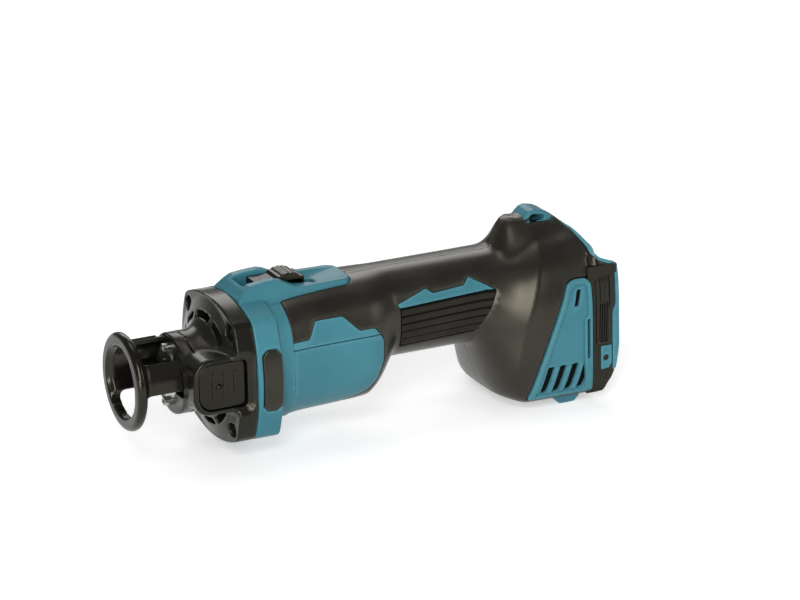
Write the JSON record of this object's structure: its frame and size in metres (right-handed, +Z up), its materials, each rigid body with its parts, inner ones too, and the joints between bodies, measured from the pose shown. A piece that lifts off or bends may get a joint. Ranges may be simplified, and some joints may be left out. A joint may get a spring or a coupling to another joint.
{
  "type": "drywall cut-out tool",
  "caption": "Cordless drywall cut-out tool with a barrel grip, collet nose, sliding depth guide, top slide switch and a rear rail for a battery pack.",
  "frame": {"origin": "centre of the collet's mouth on the spindle axis", "axes": "-X out of the collet towards the bit, +X back to the battery rail, +Z up through the slide switch"},
  "size_m": [0.27, 0.0786, 0.103],
  "materials": {
    "teal_shell": "fine moulded grain",
    "black_plastic": "satin grain",
    "rubber": "soft-touch matt",
    "steel": "ground",
    "dark_steel": "black oxide",
    "magnet": "nickel plated",
    "copper": "enamelled wire",
    "brass": "bright",
    "board": "lacquered",
    "heat_sink": "cast",
    "lead_sleeve": "smooth sleeve"
  },
  "bodies": {
    "tool": {"housing_left": "teal_shell", "housing_right": "teal_shell", "front_cover": "black_plastic", "switch_unit": "black_plastic", "terminal_block": "black_plastic", "side_strip_left": "black_plastic", "side_strip_right": "black_plastic", "fan_baffle": "black_plastic", "overmould_left": "rubber", "overmould_right": "rubber", "bumper_left": "rubber", "bumper_right": "rubber", "shaft_lock_spring": "steel", "switch_spring": "steel", "front_bearing": "steel", "rear_bearing": "steel", "bearing_retainer": "steel", "retainer_screws": "steel", "front_cover_screws": "dark_steel", "housing_screws": "dark_steel", "stator_core": "dark_steel", "stator_windings": "copper", "terminal_contacts": "brass", "hook_insert_left": "brass", "hook_insert_right": "brass", "sensor_board": "board", "controller": "heat_sink", "motor_leads": "lead_sleeve", "power_leads": "lead_sleeve", "switch_leads": "lead_sleeve"},
    "depth_guide": {"depth_guide": "black_plastic"},
    "spindle": {"spindle": "steel", "collet": "steel", "rotor_core": "dark_steel", "rotor_magnets": "magnet", "cooling_fan": "black_plastic"},
    "collet_nut": {"collet_nut": "dark_steel"},
    "shaft_lock": {"shaft_lock_button": "black_plastic", "shaft_lock_pin": "steel"},
    "switch": {"switch_slider": "black_plastic", "switch_knob": "rubber"},
    "dust_cover_left": {"dust_cover_left": "teal_shell"},
    "dust_cover_right": {"dust_cover_right": "teal_shell"}
  },
  "joints": [
    {"name": "spindle_spin", "type": "hinge", "parent": "tool", "child": "spindle", "pos_m": [0, 0, 0], "axis": [1, 0, 0], "continuous": true},
    {"name": "collet_nut_turn", "type": "hinge", "parent": "spindle", "child": "collet_nut", "pos_m": [0, 0, 0], "axis": [-1, 0, 0], "range_deg": [0, 360]},
    {"name": "depth_guide_slide", "type": "slide", "parent": "tool", "child": "depth_guide", "axis": [-1, 0, 0], "range_m": [-0.004, 0.004]},
    {"name": "shaft_lock_press", "type": "slide", "parent": "tool", "child": "shaft_lock", "axis": [0, 1, 0], "range_m": [0, 0.0034], "stiffness_N_per_m": 800, "springref_m": -0.002, "deforming": ["shaft_lock_spring"]},
    {"name": "switch_slide", "type": "slide", "parent": "tool", "child": "switch", "axis": [-1, 0, 0], "range_m": [0, 0.007], "stiffness_N_per_m": 300, "springref_m": -0.003, "deforming": ["switch_spring"]},
    {"name": "dust_cover_left_pull", "type": "slide", "parent": "tool", "child": "dust_cover_left", "axis": [0, -1, 0], "range_m": [0, 0.012]},
    {"name": "dust_cover_right_pull", "type": "slide", "parent": "tool", "child": "dust_cover_right", "axis": [0, 1, 0], "range_m": [0, 0.012]}
  ]
}
